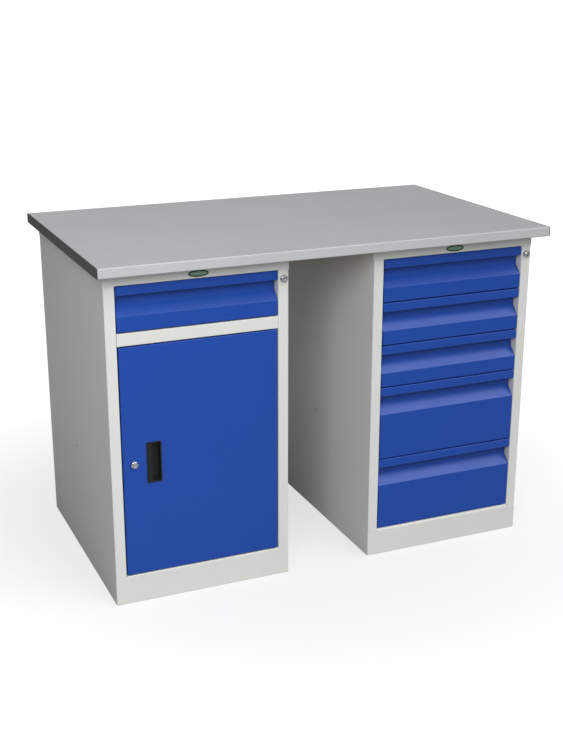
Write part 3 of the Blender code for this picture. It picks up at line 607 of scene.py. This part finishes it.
def finish_of(slot, scene):
    """The material for one of the record's slots, made the first time that it is asked for."""
    made = bpy.data.materials.get(f"finish_{slot}")
    if made:
        return made
    paint = scene.workbench_paint
    top = scene.workbench_worktop
    hardware = scene.workbench_hardware
    makers = {
        "grey_paint": lambda: powder_coat(
            "grey", paint.frame_colour, paint.frame_roughness, paint, GREY_SHEEN),
        "blue_paint": lambda: powder_coat(
            "blue", paint.front_colour, paint.front_roughness, paint, BLUE_SHEEN),
        "worktop_steel": lambda: steel_face(top.face_colour, top.face_roughness),
        "worktop_board": lambda: fibreboard(top.board_colour),
        "dark_edging": lambda: moulded_plastic("edging", top.edging_colour, 0.5),
        "black_plastic": lambda: moulded_plastic("black", hardware.handle_colour, 0.48),
        "chrome_plate": lambda: plated("chrome", hardware.chrome_colour, 0.07, 0.13, 0.0005 * MM),
        "zinc_plate": lambda: plated("zinc", hardware.zinc_colour, 0.28, 0.42, 0.002 * MM),
    }
    made = makers[slot]()
    made.name = f"finish_{slot}"
    return made


# Pieces


def sheet_nodes():
    """Nodes folded from sheet, whose bends are shaded smooth on a merged copy."""
    kinds = ("grey_paint", "blue_paint", "worktop_steel", "dark_edging", "zinc_plate")
    return [node for node, slot in SLOT_OF.items() if slot in kinds]


class WORKBENCH_OT_coat_nodes(bpy.types.Operator):
    """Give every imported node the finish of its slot"""

    bl_idname = "workbench.coat_nodes"
    bl_label = "Coat the nodes"

    def execute(self, context):
        for node, thing in frame["nodes"].items():
            finish = finish_of(SLOT_OF[node], context.scene)
            for slot in thing.material_slots:
                slot.material = finish
            if not thing.material_slots:
                thing.data.materials.append(finish)
        return {"FINISHED"}


class WORKBENCH_OT_smooth_folds(bpy.types.Operator):
    """Stand a merged copy with smooth bends in for each folded sheet"""

    bl_idname = "workbench.smooth_folds"
    bl_label = "Smooth the folds"

    def execute(self, context):
        for node in sheet_nodes():
            slot = SLOT_OF[node]
            wear(folded_copy(node, f"{node}_folded"), finish_of(slot, context.scene))
        return {"FINISHED"}


class WORKBENCH_OT_fit_handle(bpy.types.Operator):
    """Stand a copy with rounded moulded edges in for the door handle"""

    bl_idname = "workbench.fit_handle"
    bl_label = "Fit the door handle"

    def execute(self, context):
        hardware = context.scene.workbench_hardware
        cup = folded_copy("door_handle", "door_handle_moulding")
        wear(cup, finish_of("black_plastic", context.scene))
        rounding = cup.modifiers.new("moulded_edges", "BEVEL")
        rounding.width = hardware.edge_round
        rounding.segments = 2
        rounding.limit_method = "ANGLE"
        rounding.angle_limit = FOLD_ANGLE
        return {"FINISHED"}


def lock_profile(low, high, face):
    """Profile of a lock from its box: bore, body, shoulder, domed head and face.

    The dome is a quarter of an ellipse, from the head's radius at its rim to the face's radius at
    the front: radius = face + (head - face) cos q, depth = rim + (front - rim) sin q.
    """
    head = (high[0] - low[0]) / 2
    body, bore, flat = head * LOCK_BODY, head * LOCK_BORE, head * LOCK_FACE
    front = low[1] - face
    back = high[1] - face
    quarter = np.linspace(0, math.pi / 2, DOME_STEPS)
    radius = flat + (head - flat) * np.cos(quarter)
    depth = LOCK_RIM + (front - LOCK_RIM) * np.sin(quarter)
    dome = np.stack((radius, depth), 1)
    start = [(bore, back), (body, back), (body, LOCK_SHOULDER), (head, LOCK_SHOULDER)]
    end = [(bore + LOCK_CHAMFER, front), (bore, front + LOCK_CHAMFER), (bore, back)]
    return np.concatenate((start, dome, end))


class WORKBENCH_OT_fit_locks(bpy.types.Operator):
    """Turn smooth lock heads that stand for the faceted ones, and shade the plugs smooth"""

    bl_idname = "workbench.fit_locks"
    bl_label = "Fit the locks"

    def execute(self, context):
        finish = finish_of("chrome_plate", context.scene)
        sides = context.scene.workbench_hardware.lock_sides
        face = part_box("cupboard_side_right")[0][1]
        for lock in ("cupboard_lock", "drawer_unit_lock", "door_lock"):
            low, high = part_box(f"{lock}_barrel")
            centre = ((low[0] + high[0]) / 2, face, (low[2] + high[2]) / 2)
            profile = lock_profile(low, high, face)
            head = finished(f"{lock}_head", *turned(profile, centre, sides), LOCK_ANGLE)
            wear(head, finish)
            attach(head, BODY_OF[f"{lock}_barrel"])
            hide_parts(f"{lock}_barrel")
            plug = folded_copy(f"{lock}_cam", f"{lock}_plug_and_cam")
            wear(plug, finish)
        return {"FINISHED"}


class WORKBENCH_OT_fit_plates(bpy.types.Operator):
    """Fix a bare oval plate to the middle of each top rail"""

    bl_idname = "workbench.fit_plates"
    bl_label = "Fit the oval plates"

    def execute(self, context):
        plate = context.scene.workbench_plate
        rim = moulded_plastic("plate_rim", plate.rim_colour, 0.3)
        field = moulded_plastic("plate_field", plate.field_colour, 0.35)
        for unit in ("cupboard", "drawer_unit"):
            low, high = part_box(f"{unit}_cap")
            front_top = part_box("drawer1_front")[1][2]
            middle = (max(front_top, low[2]) + high[2]) / 2
            centre = ((low[0] + high[0]) / 2, low[1], middle + plate.rise)
            a, b, t, w = plate.length / 2, plate.height / 2, plate.thickness, plate.rim
            rings = [
                (0, 0, 0), (a, b, 0), (a, b, t * 0.6), (a - 0.3 * MM, b - 0.3 * MM, t * 0.9),
                (a - 0.8 * MM, b - 0.8 * MM, t), (a - w + 0.6 * MM, b - w + 0.6 * MM, t),
                (a - w, b - w, t * 0.7),
            ]
            rings.append((0, 0, t * 0.7))
            edge = finished(f"{unit}_plate_rim", *oval(rings, centre, PLATE_SIDES))
            wear(edge, rim)
            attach(edge, "cabinet")
            lift = t * 0.7 + 0.05 * MM
            inner = [
                (0, 0, t * 0.5), (a - w, b - w, t * 0.5), (a - w, b - w, lift),
                (0, 0, lift + 0.2 * MM),
            ]
            middle_field = finished(f"{unit}_plate_field", *oval(inner, centre, PLATE_SIDES))
            wear(middle_field, field)
            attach(middle_field, "cabinet")
        return {"FINISHED"}


def spaced(start, end, spacing):
    """Evenly spaced values from start to end, no further apart than the spacing."""
    count = max(int(math.ceil(abs(end - start) / spacing)), 1) + 1
    return np.linspace(start, end, count)


class WORKBENCH_OT_fit_rivets(bpy.types.Operator):
    """Set the rivets of the backs and the trays, and the plugs of the side panels"""

    bl_idname = "workbench.fit_rivets"
    bl_label = "Fit the rivets"

    def execute(self, context):
        rivet = context.scene.workbench_fastener
        grey = finish_of("grey_paint", context.scene)
        for unit in ("cupboard", "drawer_unit"):
            low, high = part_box(f"{unit}_back")
            heights = spaced(low[2] + RIVET_MARGIN, high[2] - RIVET_MARGIN, rivet.back_spacing)
            sides = np.repeat((low[0] + BACK_EDGE, high[0] - BACK_EDGE), len(heights))
            places = np.stack((sides, np.full(len(sides), high[1]), np.tile(heights, 2)), axis=1)
            heads = domes(places, (0, 1, 0), rivet.radius, rivet.height)
            backs = finished(f"{unit}_back_rivets", *heads)
            wear(backs, grey)
            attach(backs, "cabinet")
        black = finish_of("black_plastic", context.scene)
        for unit in ("cupboard", "drawer_unit"):
            for hand, out in (("left", -1), ("right", 1)):
                low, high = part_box(f"{unit}_side_{hand}")
                wall = high[0] if out > 0 else low[0]
                place = (wall, *rivet.plug_place)
                heads = domes([place], (out, 0, 0), rivet.plug_radius, PLUG_HEIGHT)
                plug = finished(f"{unit}_side_{hand}_plug", *heads)
                wear(plug, black)
                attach(plug, "cabinet")
        for body in [name for name in frame["bodies"] if "drawer" in name and "plug" not in name]:
            low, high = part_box(f"{body}_tray")
            wall = low[1] + TRAY_WALL
            across = spaced(low[0] + RIVET_MARGIN, high[0] - RIVET_MARGIN, TRAY_SPACING)
            middle = (low[2] + high[2]) / 2
            places = np.stack(
                (across, np.full(len(across), wall), np.full(len(across), middle)), axis=1
            )
            heads = domes(places, (0, 1, 0), rivet.radius, rivet.height)
            fronts = finished(f"{body}_tray_rivets", *heads)
            wear(fronts, grey)
            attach(fronts, body)
        return {"FINISHED"}


def glow_towards(tree, aim, edges, levels):
    """Light that goes from one level to another as a direction comes nearer to the aim.

    The edges are cosines of the angle between them.
    """
    towards = add(tree, "ShaderNodeVectorMath", operation="DOT_PRODUCT")
    towards.inputs[1].default_value = Vector(aim).normalized()
    join(tree, add(tree, "ShaderNodeTexCoord").outputs["Generated"], towards.inputs[0])
    spread = add(tree, "ShaderNodeMapRange")
    for title, value in zip(("From Min", "From Max", "To Min", "To Max"), (*edges, *levels)):
        spread.inputs[title].default_value = value
    join(tree, towards.outputs["Value"], spread.inputs["Value"])
    return spread.outputs["Result"]


def sky_world(settings):
    """World with a wide light in front, a bright panel high at the right and a soft one behind."""
    world = bpy.data.worlds.new("studio_sky")
    world.use_nodes = True
    tree = world.node_tree
    background = tree.nodes["Background"]
    wide = glow_towards(tree, WIDE_AIM, WIDE_EDGES, (settings.sky_low, settings.sky_high))
    panel = glow_towards(tree, PANEL_AIM, PANEL_EDGES, (0, settings.panel_glow))
    behind = glow_towards(tree, BACK_AIM, BACK_EDGES, (0, settings.back_glow))
    total = wide
    for lamp in (panel, behind):
        both = add(tree, "ShaderNodeMath", operation="ADD")
        join(tree, total, both.inputs[0])
        join(tree, lamp, both.inputs[1])
        total = both.outputs[0]
    join(tree, total, background.inputs["Strength"])
    background.inputs["Color"].default_value = (1, 1, 1, 1)
    plain = add(tree, "ShaderNodeBackground")
    plain.inputs["Color"].default_value = (1, 1, 1, 1)
    choice = add(tree, "ShaderNodeMixShader")
    sight = add(tree, "ShaderNodeLightPath")
    join(tree, sight.outputs["Is Camera Ray"], choice.inputs["Fac"])
    join(tree, background.outputs[0], choice.inputs[1])
    join(tree, plain.outputs[0], choice.inputs[2])
    join(tree, choice.outputs[0], tree.nodes["World Output"].inputs["Surface"])
    return world


def floor_paper(settings):
    """Pale floor with a glow of its own, dimmer near the bench and full far off, which paints a
    shade round the bench; it throws less light back than the camera sees.
    """
    constants = {
        "Base Color": (*settings.floor_colour, 1), "Roughness": 0.95, "Specular IOR Level": 0.1,
        "Emission Strength": 1,
    }
    made, tree, shader = new_material("floor_paper", constants)
    distance = add(tree, "ShaderNodeVectorMath", operation="LENGTH")
    join(tree, add(tree, "ShaderNodeTexCoord").outputs["Object"], distance.inputs[0])
    # The glow rises with the distance from the bench, so the floor next to the bench is darker:
    # painted shade
    glow = add(tree, "ShaderNodeMapRange")
    fade = (*FLOOR_SHADE_FADE, settings.floor_glow, 1)
    for title, value in zip(("From Min", "From Max", "To Min", "To Max"), fade):
        glow.inputs[title].default_value = value
    join(tree, distance.outputs["Value"], glow.inputs["Value"])
    join(tree, glow.outputs["Result"], shader.inputs["Emission Color"])
    bounce = add(tree, "ShaderNodeBsdfDiffuse")
    bounce.inputs["Color"].default_value = (*(settings.floor_bounce,) * 3, 1)
    sight = add(tree, "ShaderNodeLightPath")
    choice = add(tree, "ShaderNodeMixShader")
    join(tree, sight.outputs["Is Camera Ray"], choice.inputs["Fac"])
    join(tree, bounce.outputs[0], choice.inputs[1])
    join(tree, shader.outputs[0], choice.inputs[2])
    join(tree, choice.outputs[0], tree.nodes["Material Output"].inputs["Surface"])
    return made


def softbox(name, size, power, place):
    """Rectangular light that faces the middle of the bench."""
    light = bpy.data.objects.new(name, bpy.data.lights.new(name, "AREA"))
    light.data.shape = "RECTANGLE"
    light.data.size, light.data.size_y = size
    light.data.energy = power
    light.location = place
    aim = BENCH_MIDDLE - place
    light.rotation_euler = aim.to_track_quat("-Z", "Y").to_euler()
    bpy.context.scene.collection.objects.link(light)


class WORKBENCH_OT_set_stage(bpy.types.Operator):
    """Lay the pale floor, and set the light and the camera"""

    bl_idname = "workbench.set_stage"
    bl_label = "Set the stage"

    def execute(self, context):
        scene = context.scene
        studio = scene.workbench_studio
        half = studio.floor_size / 2
        mesh = bpy.data.meshes.new("floor")
        corners = [(-half, -half, 0), (half, -half, 0), (half, half, 0), (-half, half, 0)]
        mesh.from_pydata(corners, [], [(0, 1, 2, 3)])
        floor = bpy.data.objects.new("floor", mesh)
        mesh.materials.append(floor_paper(studio))
        scene.collection.objects.link(floor)
        scene.world = sky_world(studio)
        scene.view_settings.view_transform = "Standard"
        softbox("key_light", KEY_SIZE, studio.key_power, KEY_PLACE)
        camera = bpy.data.objects.new("camera", bpy.data.cameras.new("camera"))
        camera.data.lens = studio.camera_lens
        camera.data.sensor_width = 36
        camera.data.clip_end = 2 * studio.floor_size
        camera.location = studio.camera_place
        camera.rotation_euler = (math.pi / 2 - studio.camera_pitch, 0, studio.camera_heading)
        scene.collection.objects.link(camera)
        scene.camera = camera
        return {"FINISHED"}


STEPS = (
    WORKBENCH_OT_coat_nodes,
    WORKBENCH_OT_smooth_folds,
    WORKBENCH_OT_fit_handle,
    WORKBENCH_OT_fit_locks,
    WORKBENCH_OT_fit_plates,
    WORKBENCH_OT_fit_rivets,
    WORKBENCH_OT_set_stage,
)

SETTINGS = {
    "workbench_paint": PaintSettings,
    "workbench_worktop": WorktopSettings,
    "workbench_hardware": HardwareSettings,
    "workbench_plate": PlateSettings,
    "workbench_fastener": FastenerSettings,
    "workbench_studio": StudioSettings,
}


class WORKBENCH_PT_panel(bpy.types.Panel):
    """Lists the steps and their settings"""

    bl_idname = "WORKBENCH_PT_panel"
    bl_label = "Workbench"
    bl_space_type = "VIEW_3D"
    bl_region_type = "UI"
    bl_category = "Workbench"

    def draw(self, context):
        for step in STEPS:
            self.layout.operator(step.bl_idname)
        for name, group in SETTINGS.items():
            box = self.layout.box()
            box.label(text=group.__name__)
            for key in group.__annotations__:
                box.prop(getattr(context.scene, name), key)


def register():
    for group in (*SETTINGS.values(), *STEPS, WORKBENCH_PT_panel):
        bpy.utils.register_class(group)
    for name, group in SETTINGS.items():
        setattr(bpy.types.Scene, name, PointerProperty(type=group))


def unregister():
    for name in SETTINGS:
        delattr(bpy.types.Scene, name)
    for group in reversed((*SETTINGS.values(), *STEPS, WORKBENCH_PT_panel)):
        bpy.utils.unregister_class(group)


def main():
    register()
    bpy.ops.workbench.coat_nodes()
    bpy.ops.workbench.smooth_folds()
    bpy.ops.workbench.fit_handle()
    bpy.ops.workbench.fit_locks()
    bpy.ops.workbench.fit_plates()
    bpy.ops.workbench.fit_rivets()
    bpy.ops.workbench.set_stage()


if __name__ == "__main__":
    main()
